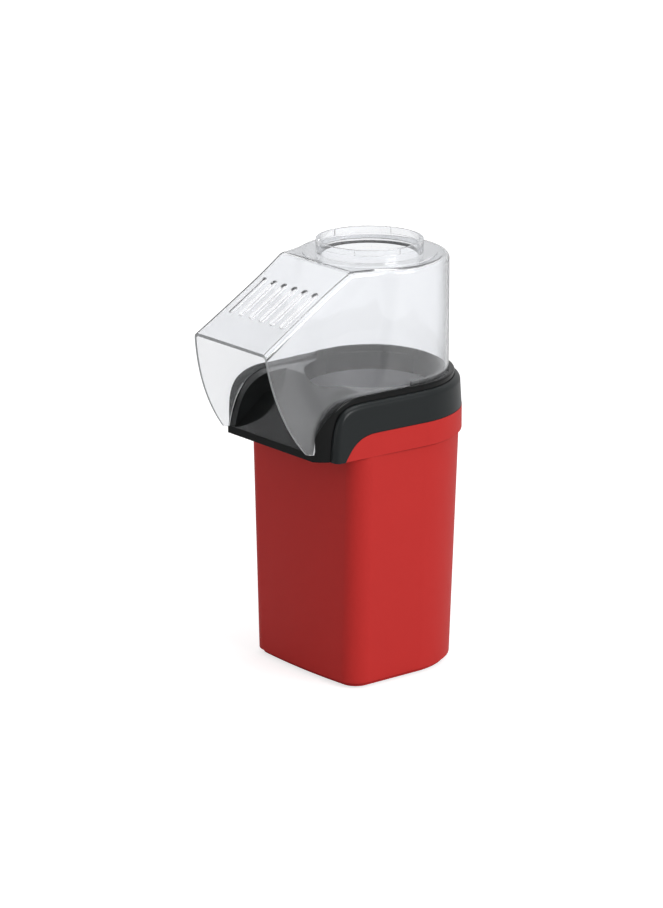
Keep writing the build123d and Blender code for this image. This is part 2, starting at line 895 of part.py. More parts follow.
fuse_plane = Plane(
    origin=(
        fuse_start,
        axis_y + mica_thickness / 2 + fuse_radius,
        heater_ledge_z + fuse_rise,
    ),
    x_dir=(0, 1, 0),
    z_dir=(1, 0, 0),
)
with BuildPart() as thermal_fuse:
    with BuildSketch(fuse_plane):
        Circle(fuse_radius)
    extrude(amount=fuse_length)
save(thermal_fuse, "thermal_fuse")

# ---------------------------------------------------------------- switch
bezel_front = panel_reach + bezel_thickness
pivot_y = bezel_front - rocker_pivot_depth
pivot_plane = Plane(
    origin=(0, axis_y + pivot_y, switch_z), x_dir=(0, 1, 0), z_dir=(1, 0, 0)
)
with BuildPart() as switch_body:
    with BuildSketch(rear_plane(switch_z).offset(panel_reach)):
        Rectangle(switch_width, switch_height)
    extrude(amount=-switch_depth)
    with BuildSketch(rear_plane(switch_z).offset(panel_reach)):
        Rectangle(switch_width + 2 * bezel_margin, switch_height + 2 * bezel_margin)
    extrude(amount=bezel_thickness)
    with BuildSketch(rear_plane(switch_z).offset(bezel_front)):
        Rectangle(rocker_width + 2 * rocker_gap, 2 * cavity_half)
    extrude(amount=-cavity_depth, mode=Mode.SUBTRACT)
    with BuildSketch(pivot_plane):
        Circle(rocker_pin_radius + running_gap)
    extrude(amount=rocker_pin_length / 2 + rocker_gap, both=True, mode=Mode.SUBTRACT)
save(switch_body, "switch_body")

rocker_plane = Plane(
    origin=(0, axis_y + pivot_y, switch_z),
    x_dir=(0, cos(radians(rocker_tilt)), -sin(radians(rocker_tilt))),
    z_dir=(1, 0, 0),
)
with BuildPart() as switch_rocker:
    with BuildSketch(rocker_plane):
        with BuildLine():
            Polyline(
                (rocker_end, -rocker_half),
                (rocker_middle, 0),
                (rocker_end, rocker_half),
                (rocker_end / 2, rocker_half),
                (-rocker_back, rocker_back),
                (-rocker_back, -rocker_back),
                (rocker_end / 2, -rocker_half),
                close=True,
            )
        make_face()
    extrude(amount=rocker_width / 2, both=True)
    with BuildSketch(rocker_plane):
        Circle(rocker_pin_radius)
    extrude(amount=rocker_pin_length / 2, both=True)
save(switch_rocker, "switch_rocker")

terminal_thickness, terminal_width, terminal_length = terminal_size
with BuildPart() as switch_terminals:
    with BuildSketch(level(switch_z - switch_height / 2)):
        with Locations((0, panel_reach - switch_depth + terminal_width / 2)):
            with GridLocations(2 * terminal_half_pitch, 0, 2, 1):
                Rectangle(terminal_thickness, terminal_width)
    extrude(amount=-terminal_length)
save(switch_terminals, "switch_terminals")

# ---------------------------------------------------------------- cord gland
with BuildPart() as cord_gland:
    with BuildSketch(rear_plane(gland_z).offset(panel_reach)):
        Circle(gland_flange_radius)
    extrude(amount=gland_flange)
    fillet(cord_gland.edges().group_by(Axis.Y)[-1], gland_flange / 2)
    with BuildSketch(rear_plane(gland_z).offset(panel_reach)):
        Circle(gland_barrel_radius)
    extrude(amount=-gland_length)
    with BuildSketch(rear_plane(gland_z)):
        Circle(gland_bore)
    extrude(amount=span + margin, mode=Mode.SUBTRACT)
save(cord_gland, "cord_gland")

nut_reach = sqrt((shell_half(gland_z) - shell_wall) ** 2 - nut_radius**2) - fit_gap
with BuildPart() as gland_nut:
    with BuildSketch(rear_plane(gland_z).offset(nut_reach)):
        RegularPolygon(nut_radius, 6)
        Circle(gland_barrel_radius + thread_gap, mode=Mode.SUBTRACT)
    extrude(amount=-nut_thickness)
save(gland_nut, "gland_nut")
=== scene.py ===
import math

import bmesh
import bpy
from bpy.props import FloatProperty, FloatVectorProperty, IntProperty, PointerProperty
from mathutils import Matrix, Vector


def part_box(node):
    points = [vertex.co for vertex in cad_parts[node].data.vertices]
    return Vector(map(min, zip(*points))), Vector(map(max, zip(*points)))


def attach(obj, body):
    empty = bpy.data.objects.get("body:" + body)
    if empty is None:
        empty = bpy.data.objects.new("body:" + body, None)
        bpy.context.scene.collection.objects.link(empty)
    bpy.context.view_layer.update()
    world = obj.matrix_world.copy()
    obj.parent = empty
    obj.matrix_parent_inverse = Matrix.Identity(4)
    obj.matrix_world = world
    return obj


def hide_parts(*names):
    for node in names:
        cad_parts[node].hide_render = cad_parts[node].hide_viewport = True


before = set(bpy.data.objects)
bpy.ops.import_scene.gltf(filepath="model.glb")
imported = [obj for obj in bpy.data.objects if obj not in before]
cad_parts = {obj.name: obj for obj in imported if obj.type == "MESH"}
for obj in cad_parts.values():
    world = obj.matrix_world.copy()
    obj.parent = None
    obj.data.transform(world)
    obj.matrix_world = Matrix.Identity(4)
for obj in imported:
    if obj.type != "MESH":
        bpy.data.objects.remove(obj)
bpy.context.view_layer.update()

bl_info = {
    "name": "Popcorn Maker",
    "version": (1, 0, 0),
    "blender": (4, 5, 0),
    "location": "View3D > Sidebar > Popcorn Maker",
    "description": "Finishes, heater wire, feet, screws and stage of a hot-air popcorn maker",
    "category": "Object",
}

# ---------------------------------------------------------------- fixed numbers
# Lengths are in metres, angles in radians, and shares run from 0 to 1.
WELD = 0.000001  # vertices closer than this become one
SHARP_ANGLE = math.radians(35.0)  # corners steeper than this stay crisp

# Moulded plastic.
CLOUD_SCALE = 22.0
GRAIN_SCALE = 1800.0
SCUFF_SCALE = 160.0
SCUFF_TURN = (0.5, 0.9, 0.3)  # scuffs run slantwise
SCUFF_SQUEEZE = (1.0, 1.0, 7.0)  # and are long and thin
SCUFF_START, SCUFF_FULL = 0.66, 0.78  # noise levels at which a scuff begins and is full
SCUFF_DEPTH = 0.6  # against the grain's height
SEAM_SHADE_REACH = 0.0025  # how far out from seams the painted shade reaches
SEAM_SHADE_SHUT, SEAM_SHADE_OPEN = 0.3, 0.95  # openness at which the painted shade beside seams is darkest and at which it ends

# Drawn metal and flat cells, as factors of the colour and of the roughness.
STREAK_SHADE = (0.86, 1.1)
STREAK_DULLNESS = (0.8, 1.25)
PATCH_DULLNESS = (0.85, 1.2)
CELL_DULLNESS = (0.8, 1.3)

# The clear hood.
HOOD_TRANSMISSION = 0.95
HOOD_IOR = 1.5
HAZE = 0.05  # roughness of the walls at their dullest
EDGE_ROUGHNESS = 0.6  # roughness that a cut edge adds
EDGE_PAINTED_GLOW = 0.14  # painted glow: emission at the cut edges, standing in for light that the walls gather and let out there
EDGE_TURNED, EDGE_SQUARE = 0.62, 0.72  # how squarely a face looks ahead to count as a cut edge
CREASE_SHARE = 0.42  # share of the hood's length that lies ahead of its round back
CREASE_BLUR = 0.002
GLANCE_SHADE_START = 0.5  # slant from which a face is painted greyer at a glance (painted shade)
GLANCE_SHADE = 0.9  # share of painted grey shade on a face seen at a glance
SHADOW_PASSED = 0.85  # share of light that the hood lets through to the floor

# Feet, as shares of the radius, the edge's rounding and the dish's depth.
EDGE_MIDDLE = 0.3
DISH_RIM, DISH_SLOPE, DISH_FLAT = 0.72, 0.66, 0.45
DISH_SLOPE_DEPTH = 0.7

# Screws, as shares of the head's radius and depth or of the shank's radius.
HEAD_FROM = 0.9  # vertices farther out than this belong to the head
RECESS_HUB, RECESS_REACH = 0.2, 0.58
RECESS_DEPTH = 0.6
RECESS_SLOPE = 0.04
FLAT_WITHIN = 0.05  # faces nearer than this to the head's flat belong to it
ARM_SEGMENTS = 1.05  # segments of the head to either side of an arm's middle
CROWN_RADIUS, CROWN_DROP = 0.8, 0.12
SIDE_DROP = 0.5
TIP_RADIUS, TIP_LENGTH = 0.5, 0.2

# The stage. Each lamp has its name, place, size and the setting of its power.
LAMPS = (
    ("Key", (1.9, 0.3, 1.1), 1.0, "key_power"),
    ("Fill", (-0.5, -2.0, 0.9), 1.2, "fill_power"),
    ("Top", (0.1, 0.3, 1.9), 1.4, "top_power"),
)
FLOOR_GREY = (0.6, 0.6, 0.6, 1.0)
WHITE = (1.0, 1.0, 1.0, 1.0)
FLOOR_THROUGH = 0.72  # how white the floor looks through the hood
FLOOR_MIRRORED = 0.4  # share of the surround's mirrored white that the floor has
FLOOR_NEAR, FLOOR_FAR = 0.72, 0.95  # the floor's own white near the maker and far off
FADE_START, FADE_END = 0.3, 1.6  # distances between which it rises


def display(r, g, b):
    """A display colour from 0 to 255 as a linear colour."""
    shares = [v / 255.0 for v in (r, g, b)]
    linear = [v / 12.92 if v <= 0.04045 else ((v + 0.055) / 1.055) ** 2.4 for v in shares]
    return (*linear, 1.0)


# ---------------------------------------------------------------- properties
def colour_property(name, description, default):
    """A colour that a user may change."""
    return FloatVectorProperty(
        name=name,
        description=description,
        subtype="COLOR",
        size=4,
        min=0.0,
        max=1.0,
        default=default,
    )


def length_property(name, description, default):
    """A length in metres that a user may change."""
    return FloatProperty(
        name=name, description=description, default=default, min=0.0, unit="LENGTH", precision=5
    )


def power_property(name, description, default):
    """A lamp's power in watts."""
    return FloatProperty(
        name=name, description=description, default=default, min=0.0, unit="POWER"
    )


class PopcornColours(bpy.types.PropertyGroup):
    """Colours of the mouldings, the metal and the heater parts."""

    shell: colour_property("Shell", "Red of the housing and collar", display(206, 50, 47))
    satin: colour_property("Satin trim", "Black of the shoulder trim", display(33, 37, 38))
    gloss: colour_property("Deck tray", "Black of the polished tray", display(19, 20, 20))
    clear: colour_property("Hood", "Tint of the clear hood", display(250, 251, 253))
    # Painted grey shade for the hood's cut edges and for its faces seen at a glance.
    clear_edge_shade: colour_property("Hood edge shade", "Painted shade of the cut edges", display(100, 104, 108))
    rubber: colour_property("Rubber", "Colour of the feet", display(32, 32, 32))
    silicone: colour_property("Gasket", "Colour of the cup gasket", display(190, 190, 185))
    impeller: colour_property("Impeller", "Colour of the fan", display(225, 225, 220))
    board: colour_property("Board", "Colour of the rectifier board", display(58, 98, 52))
    track: colour_property("Board tracks", "Colour of the board's tracks", display(92, 132, 70))
    aluminium: colour_property("Aluminium", "Colour of the popping cup", display(205, 205, 208))
    sheet: colour_property("Sheet steel", "Colour of ducts and brackets", display(170, 172, 175))
    steel: colour_property("Steel", "Colour of shaft and screws", display(150, 150, 154))
    brass: colour_property("Brass", "Colour of the switch tabs", display(196, 162, 92))
    wire: colour_property("Heater wire", "Colour of the oxidised wire", display(120, 112, 105))
    ceramic: colour_property("Ceramic", "Colour of the ceramic parts", display(228, 226, 218))
    mica: colour_property("Mica", "Colour of the mica frame", display(196, 172, 126))
    mica_flake: colour_property("Mica flakes", "Darker flakes in the mica", display(150, 118, 72))


class PopcornSizes(bpy.types.PropertyGroup):
    """Sizes of the pieces that are modelled here."""

    wire_diameter: length_property("Heater wire", "Diameter of the heater wire", 0.00045)
    wire_pitch: length_property("Wire pitch", "Spacing of the heater wire's turns", 0.0017)
    wire_steps: IntProperty(
        name="Wire steps", description="Points on each turn of wire", default=10, min=6
    )
    foot_edge: length_property("Foot edge", "Rounding of a foot's lower edge", 0.0004)
    foot_dish: length_property("Foot dish", "Depth of the dish under a foot", 0.0005)
    thread_pitch: length_property("Thread pitch", "Spacing of the screw threads", 0.0009)
    thread_depth: length_property("Thread depth", "Depth of the screw threads", 0.00025)
    lathe_steps: IntProperty(
        name="Lathe steps", description="Segments round a turned piece", default=32, min=16
    )


class PopcornStage(bpy.types.PropertyGroup):
    """Camera, floor and lamps."""

    lens: FloatProperty(
        name="Lens", description="Focal length of the camera", default=175.0, unit="CAMERA"
    )
    camera_place: FloatVectorProperty(
        name="Camera place",
        description="Where the camera stands",
        subtype="TRANSLATION",
        unit="LENGTH",
        default=(2.157, -1.7422, 0.9607),
    )
    camera_aim: FloatVectorProperty(
        name="Camera aim",
        description="Direction in which the camera looks",
        subtype="DIRECTION",
        default=(-0.7470, 0.6017, -0.2826),
    )
    aim_height: length_property("Lamp aim", "Height on the maker that the lamps face", 0.12)
    floor_size: length_property("Floor", "Half the side of the square floor", 6.0)
    key_power: power_property("Key lamp", "Power of the lamp at the right", 22.0)
    fill_power: power_property("Fill lamp", "Power of the lamp at the front", 3.0)
    top_power: power_property("Top lamp", "Power of the lamp overhead", 12.0)
    ambient: FloatProperty(
        name="Ambient", description="Strength of the even light all round", default=0.32, min=0.0
    )
    mirrored: FloatProperty(
        name="Mirrored white",
        description="How much of the white surround gloss shows",
        default=0.4,
        min=0.0,
        max=1.0,
    )


# ---------------------------------------------------------------- shader helpers
def node(tree, kind, x, y, **settings):
    """Adds one shader node at a place in the editor and sets its properties."""
    made = tree.nodes.new(kind)
    made.location = (x, y)
    for key, value in settings.items():
        setattr(made, key, value)
    return made


def remap(tree, x, y, low, high, start=0.0, end=1.0):
    """Adds a node that maps the range start to end onto low to high."""
    made = node(tree, "ShaderNodeMapRange", x, y)
    made.inputs["From Min"].default_value = start
    made.inputs["From Max"].default_value = end
    made.inputs["To Min"].default_value = low
    made.inputs["To Max"].default_value = high
    return made


def noise(tree, x, y, scale, detail):
    """Adds a noise texture with its scale and detail."""
    made = node(tree, "ShaderNodeTexNoise", x, y)
    made.inputs["Scale"].default_value = scale
    made.inputs["Detail"].default_value = detail
    return made


def math_node(tree, x, y, operation, factor=None, added=None):
    """Adds a math node, with its second and third numbers where they are fixed."""
    made = node(tree, "ShaderNodeMath", x, y, operation=operation)
    if factor is not None:
        made.inputs[1].default_value = factor
    if added is not None:
        made.inputs[2].default_value = added
    return made


def surface_group(name, inputs):
    """Starts a node group whose outputs are a colour, a roughness and a height."""
    tree = bpy.data.node_groups.new(name, "ShaderNodeTree")
    for label, kind, default in inputs:
        socket = tree.interface.new_socket(label, in_out="INPUT", socket_type=kind)
        socket.default_value = default
    tree.interface.new_socket("Color", in_out="OUTPUT", socket_type="NodeSocketColor")
    tree.interface.new_socket("Roughness", in_out="OUTPUT", socket_type="NodeSocketFloat")
    tree.interface.new_socket("Height", in_out="OUTPUT", socket_type="NodeSocketFloat")
    return tree, node(tree, "NodeGroupInput", -1100, 0), node(tree, "NodeGroupOutput", 600, 0)


def plastic_group():
    """Moulded plastic: a soft drift of tone and gloss, grain, faint scuffs and painted shade
    beside seams.
    """
    tree, start, end = surface_group(
        "MouldedPlastic",
        [
            ("Color", "NodeSocketColor", (0.5, 0.5, 0.5, 1.0)),
            ("Roughness", "NodeSocketFloat", 0.4),
            ("Drift", "NodeSocketFloat", 0.04),
            ("Scuffs", "NodeSocketFloat", 0.1),
            ("Seam Depth", "NodeSocketFloat", 0.0),
            ("Grain Scale", "NodeSocketFloat", GRAIN_SCALE),
        ],
    )
    place = node(tree, "ShaderNodeTexCoord", -1100, -300)
    cloud = noise(tree, -850, 0, scale=CLOUD_SCALE, detail=3.0)
    grain = noise(tree, -850, -300, scale=GRAIN_SCALE, detail=2.0)
    stretch = node(tree, "ShaderNodeMapping", -1050, -600)
    stretch.inputs["Scale"].default_value = SCUFF_SQUEEZE
    stretch.inputs["Rotation"].default_value = SCUFF_TURN
    marks = noise(tree, -850, -600, scale=SCUFF_SCALE, detail=6.0)
    scuffed = remap(tree, -600, -600, low=0.0, high=1.0, start=SCUFF_START, end=SCUFF_FULL)
    drift = remap(tree, -600, 0, low=-1.0, high=1.0)
    shade = math_node(tree, -350, 0, "MULTIPLY_ADD", added=1.0)
    # Painted shade: ambient occlusion darkens the plastic's colour right beside seams, where
    # little light gets in.
    occlusion = node(tree, "ShaderNodeAmbientOcclusion", -850, 400, samples=16)
    occlusion.inputs["Distance"].default_value = SEAM_SHADE_REACH
    seam_shade_mask = remap(tree, -600, 400, low=-1.0, high=0.0, start=SEAM_SHADE_SHUT, end=SEAM_SHADE_OPEN)
    seam_shade = math_node(tree, -350, 400, "MULTIPLY_ADD", added=1.0)
    plain = node(tree, "ShaderNodeVectorMath", -100, 200, operation="SCALE")
    colour = node(tree, "ShaderNodeVectorMath", 150, 200, operation="SCALE")
    rough = math_node(tree, -100, -50, "MULTIPLY")
    worn = math_node(tree, 150, -150, "MULTIPLY_ADD")
    height = math_node(tree, 150, -400, "MULTIPLY_ADD", factor=-SCUFF_DEPTH)
    link = tree.links.new
    link(place.outputs["Object"], cloud.inputs["Vector"])
    link(place.outputs["Object"], grain.inputs["Vector"])
    link(place.outputs["Object"], stretch.inputs["Vector"])
    link(stretch.outputs["Vector"], marks.inputs["Vector"])
    link(start.outputs["Grain Scale"], grain.inputs["Scale"])
    link(cloud.outputs["Fac"], drift.inputs["Value"])
    link(drift.outputs["Result"], shade.inputs[0])
    link(start.outputs["Drift"], shade.inputs[1])
    link(marks.outputs["Fac"], scuffed.inputs["Value"])
    link(occlusion.outputs["AO"], seam_shade_mask.inputs["Value"])
    link(seam_shade_mask.outputs["Result"], seam_shade.inputs[0])
    link(start.outputs["Seam Depth"], seam_shade.inputs[1])
    link(start.outputs["Color"], plain.inputs["Vector"])
    link(shade.outputs["Value"], plain.inputs["Scale"])
    link(plain.outputs["Vector"], colour.inputs["Vector"])
    link(seam_shade.outputs["Value"], colour.inputs["Scale"])
    link(start.outputs["Roughness"], rough.inputs[0])
    link(shade.outputs["Value"], rough.inputs[1])
    link(scuffed.outputs["Result"], worn.inputs[0])
    link(start.outputs["Scuffs"], worn.inputs[1])
    link(rough.outputs["Value"], worn.inputs[2])
    link(scuffed.outputs["Result"], height.inputs[0])
    link(grain.outputs["Fac"], height.inputs[2])
    link(colour.outputs["Vector"], end.inputs["Color"])
    link(worn.outputs["Value"], end.inputs["Roughness"])
    link(height.outputs["Value"], end.inputs["Height"])
    return tree


def metal_group():
    """Drawn or turned metal: fine streaks along one axis and a cloud of duller patches."""
    tree, start, end = surface_group(
        "DrawnMetal",
        [
            ("Color", "NodeSocketColor", (0.6, 0.6, 0.6, 1.0)),
            ("Roughness", "NodeSocketFloat", 0.35),
            ("Stretch", "NodeSocketVector", (1.0, 1.0, 30.0)),
        ],
    )
    place = node(tree, "ShaderNodeTexCoord", -1100, -300)
    stretch = node(tree, "ShaderNodeVectorMath", -850, -200, operation="MULTIPLY")
    streaks = noise(tree, -650, -200, scale=90.0, detail=4.0)
    patches = noise(tree, -650, -500, scale=45.0, detail=3.0)
    tint = remap(tree, -400, 100, *STREAK_SHADE)
    dull = remap(tree, -400, -200, *STREAK_DULLNESS)
    cloudy = remap(tree, -400, -500, *PATCH_DULLNESS)
    colour = node(tree, "ShaderNodeVectorMath", -100, 200, operation="SCALE")
    rough = math_node(tree, -100, -50, "MULTIPLY")
    clouded = math_node(tree, 150, -150, "MULTIPLY")
    link = tree.links.new
    link(place.outputs["Object"], stretch.inputs[0])
    link(place.outputs["Object"], patches.inputs["Vector"])
    link(start.outputs["Stretch"], stretch.inputs[1])
    link(stretch.outputs["Vector"], streaks.inputs["Vector"])
    link(streaks.outputs["Fac"], tint.inputs["Value"])
    link(streaks.outputs["Fac"], dull.inputs["Value"])
    link(patches.outputs["Fac"], cloudy.inputs["Value"])
    link(start.outputs["Color"], colour.inputs["Vector"])
    link(tint.outputs["Result"], colour.inputs["Scale"])
    link(start.outputs["Roughness"], rough.inputs[0])
    link(dull.outputs["Result"], rough.inputs[1])
    link(rough.outputs["Value"], clouded.inputs[0])
    link(cloudy.outputs["Result"], clouded.inputs[1])
    link(colour.outputs["Vector"], end.inputs["Color"])
    link(clouded.outputs["Value"], end.inputs["Roughness"])
    link(streaks.outputs["Fac"], end.inputs["Height"])
    return tree


def flake_group():
    """Flat cells of two shades, as the flakes of pressed mica or the tracks of a board."""
    tree, start, end = surface_group(
        "FlatCells",
        [
            ("Color", "NodeSocketColor", (0.5, 0.4, 0.3, 1.0)),
            ("Cell Color", "NodeSocketColor", (0.3, 0.2, 0.1, 1.0)),
            ("Roughness", "NodeSocketFloat", 0.35),
            ("Cell Scale", "NodeSocketFloat", 400.0),
        ],
    )
    place = node(tree, "ShaderNodeTexCoord", -1100, -300)
    cells = node(tree, "ShaderNodeTexVoronoi", -800, -100)
    shade = node(tree, "ShaderNodeSeparateColor", -550, -100)
    blend = node(tree, "ShaderNodeMix", -100, 150, data_type="RGBA")
    dull = remap(tree, -350, -300, *CELL_DULLNESS)
    rough = math_node(tree, -100, -200, "MULTIPLY")
    link = tree.links.new
    link(place.outputs["Object"], cells.inputs["Vector"])
    link(start.outputs["Cell Scale"], cells.inputs["Scale"])
    link(cells.outputs["Color"], shade.inputs["Color"])
    link(shade.outputs["Red"], blend.inputs["Factor"])
    link(start.outputs["Color"], blend.inputs["A"])
    link(start.outputs["Cell Color"], blend.inputs["B"])
    link(shade.outputs["Green"], dull.inputs["Value"])
    link(start.outputs["Roughness"], rough.inputs[0])
    link(dull.outputs["Result"], rough.inputs[1])
    link(blend.outputs["Result"], end.inputs["Color"])
    link(rough.outputs["Value"], end.inputs["Roughness"])
    link(cells.outputs["Distance"], end.inputs["Height"])
    return tree


def shared_group(name):
    """The node group of this name, built at its first use."""
    builders = {
        "MouldedPlastic": plastic_group,
        "DrawnMetal": metal_group,
        "FlatCells": flake_group,
    }
    return bpy.data.node_groups.get(name) or builders[name]()


# ---------------------------------------------------------------- materials
def finish(name, group_name, values, relief=(0.1, 0.0002), **shader_values):
    """One material whose colour, roughness and bump come from a node group.

    values go to the group's inputs and shader_values to the Principled shader's own sockets,
    with _ for each space in a socket's name. relief is the bump's strength and height in metres.
    """
    material = bpy.data.materials.new(name)
    material.use_nodes = True
    tree = material.node_tree
    tree.nodes.clear()
    out = node(tree, "ShaderNodeOutputMaterial", 500, 0)
    shader = node(tree, "ShaderNodeBsdfPrincipled", 200, 0)
    for key, value in shader_values.items():
        shader.inputs[key.replace("_", " ")].default_value = value
    pattern = node(tree, "ShaderNodeGroup", -400, 0, node_tree=shared_group(group_name))
    for key, value in values.items():
        pattern.inputs[key].default_value = value
    bump = node(tree, "ShaderNodeBump", -100, -300)
    bump.inputs["Strength"].default_value = relief[0]
    bump.inputs["Distance"].default_value = relief[1]
    link = tree.links.new
    link(pattern.outputs["Color"], shader.inputs["Base Color"])
    link(pattern.outputs["Roughness"], shader.inputs["Roughness"])
    link(pattern.outputs["Height"], bump.inputs["Height"])
    link(bump.outputs["Normal"], shader.inputs["Normal"])
    link(shader.outputs["BSDF"], out.inputs["Surface"])
    return material


def clear_finish(name, tint, edge_shade_tint):
    """Clear moulded plastic with frosted cut edges that carry painted grey shade and a painted
    glow, and painted grey shade on faces seen at a glance.
    """
    material = bpy.data.materials.new(name)
    material.use_nodes = True
    tree = material.node_tree
    tree.nodes.clear()
    out = node(tree, "ShaderNodeOutputMaterial", 600, 0)
    shader = node(tree, "ShaderNodeBsdfPrincipled", 300, 0)
    shader.inputs["Transmission Weight"].default_value = HOOD_TRANSMISSION
    shader.inputs["IOR"].default_value = HOOD_IOR
    # Painted glow: the cut edges emit a little light though they are no lamp.
    shader.inputs["Emission Strength"].default_value = EDGE_PAINTED_GLOW
    place = node(tree, "ShaderNodeTexCoord", -1100, -200)
    waves = noise(tree, -850, -300, scale=30.0, detail=2.0)
    haze = remap(tree, -600, -300, low=0.0, high=HAZE)
    bump = node(tree, "ShaderNodeBump", 50, -300)
    bump.inputs["Strength"].default_value = 0.05
    bump.inputs["Distance"].default_value = 0.0004
    # The cut edges look ahead of the maker, and lie ahead of the hood's round back.
    facing = node(tree, "ShaderNodeNewGeometry", -1100, 200)
    turned = node(tree, "ShaderNodeVectorMath", -850, 200, operation="DOT_PRODUCT")
    turned.inputs[1].default_value = (0.0, -1.0, 0.0)
    ahead = remap(tree, -600, 200, low=0.0, high=1.0, start=EDGE_TURNED, end=EDGE_SQUARE)
    split = node(tree, "ShaderNodeSeparateXYZ", -850, 0)
    front, back = (corner[1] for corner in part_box("hood"))
    crease = front + CREASE_SHARE * (back - front)
    before = remap(tree, -600, 0, low=1.0, high=0.0, start=crease, end=crease + CREASE_BLUR)
    # This mask of the cut edges paints them grey (painted shade) and makes them glow (painted
    # light); it also makes them rougher.
    edge = math_node(tree, -350, 100, "MULTIPLY")
    frosted = math_node(tree, -100, -150, "MULTIPLY_ADD", factor=EDGE_ROUGHNESS)
    # Painted shade: faces seen at a glance are painted greyer, standing in for the dark
    # surroundings that clear plastic shows there.
    glance = node(tree, "ShaderNodeLayerWeight", -850, 400)
    glance.inputs["Blend"].default_value = 0.5
    glance_shade = remap(tree, -600, 400, low=0.0, high=GLANCE_SHADE, start=GLANCE_SHADE_START)
    glance_shaded_tint = node(tree, "ShaderNodeMix", -350, 300, data_type="RGBA")
    glance_shaded_tint.inputs["A"].default_value = tint
    glance_shaded_tint.inputs["B"].default_value = edge_shade_tint
    blend = node(tree, "ShaderNodeMix", -100, 200, data_type="RGBA")
    blend.inputs["B"].default_value = edge_shade_tint
    # A clear hood throws only a faint shadow.
    path = node(tree, "ShaderNodeLightPath", -350, -500)
    shadow = math_node(tree, -100, -500, "MULTIPLY_ADD", factor=-SHADOW_PASSED, added=1.0)
    link = tree.links.new
    link(place.outputs["Object"], waves.inputs["Vector"])
    link(place.outputs["Object"], split.inputs["Vector"])
    link(waves.outputs["Fac"], haze.inputs["Value"])
    link(waves.outputs["Fac"], bump.inputs["Height"])
    link(facing.outputs["True Normal"], turned.inputs[0])
    link(turned.outputs["Value"], ahead.inputs["Value"])
    link(split.outputs["Y"], before.inputs["Value"])
    link(ahead.outputs["Result"], edge.inputs[0])
    link(before.outputs["Result"], edge.inputs[1])
    link(glance.outputs["Facing"], glance_shade.inputs["Value"])
    link(glance_shade.outputs["Result"], glance_shaded_tint.inputs["Factor"])
    link(glance_shaded_tint.outputs["Result"], blend.inputs["A"])
    link(edge.outputs["Value"], blend.inputs["Factor"])
    # Painted grey shade and painted glow at the cut edges.
    link(blend.outputs["Result"], shader.inputs["Base Color"])
    link(edge.outputs["Value"], shader.inputs["Emission Color"])
    link(edge.outputs["Value"], frosted.inputs[0])
    link(haze.outputs["Result"], frosted.inputs[2])
    link(frosted.outputs["Value"], shader.inputs["Roughness"])
    link(bump.outputs["Normal"], shader.inputs["Normal"])
    link(path.outputs["Is Shadow Ray"], shadow.inputs[0])
    link(shadow.outputs["Value"], shader.inputs["Alpha"])
    link(shader.outputs["BSDF"], out.inputs["Surface"])
    return material


def dress(slot_name, material):
    """Gives a finish to every CAD surface of one material slot."""
    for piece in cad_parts.values():
        for index, worn in enumerate(piece.data.materials):
            if worn.name.split(".")[0] == slot_name:
                piece.data.materials[index] = material


# ---------------------------------------------------------------- mesh helpers
def islands(node_name):
    """The separate solids of a CAD node, each as its vertices' positions."""
    shape = bmesh.new()
    shape.from_mesh(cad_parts[node_name].data)
    bmesh.ops.remove_doubles(shape, verts=shape.verts, dist=WELD)
    found = []
    seen = set()
    for first in shape.verts:
        if first in seen:
            continue
        seen.add(first)
        reached = [first]
        for vert in reached:
            for edge in vert.link_edges:
                other = edge.other_vert(vert)
                if other not in seen:
                    seen.add(other)
                    reached.append(other)
        found.append([vert.co.copy() for vert in reached])
    shape.free()
    return found


def span(solid, axis):
    """Lowest and highest value of a solid's positions along one axis."""
    values = [place[axis] for place in solid]
    return min(values), max(values)


def centre_line(solid):
    """Where a solid's upright centre line stands."""
    return Vector((sum(span(solid, 0)) / 2, sum(span(solid, 1)) / 2, 0.0))


def half_width(solid):
    """Half of a solid's width along X, which is the outer radius of a round one."""
    left, right = span(solid, 0)
    return (right - left) / 2


def lathe(shape, profile, centre, steps):
    """Turns a profile of (radius, height) points about an upright line."""
    line = [shape.verts.new(centre + Vector((radius, 0.0, z))) for radius, z in profile]
    edges = [shape.edges.new(pair) for pair in zip(line, line[1:])]
    bmesh.ops.spin(
        shape,
        geom=line + edges,
        cent=centre,
        axis=(0.0, 0.0, 1.0),
        angle=math.tau,
        steps=steps,
        use_merge=True,
    )


def save_piece(name, shape, material, replaced):
    """Makes an object of a finished bmesh, in place of a CAD node of the standing body."""
    bmesh.ops.remove_doubles(shape, verts=shape.verts, dist=WELD)
    bmesh.ops.recalc_face_normals(shape, faces=shape.faces)
    mesh = bpy.data.meshes.new(name)
    shape.to_mesh(mesh)
    shape.free()
    mesh.materials.append(material)
    for face in mesh.polygons:
        face.use_smooth = True
    mesh.set_sharp_from_angle(angle=SHARP_ANGLE)
    piece = bpy.data.objects.new(name, mesh)
    bpy.context.scene.collection.objects.link(piece)
    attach(piece, "body")
    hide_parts(replaced)


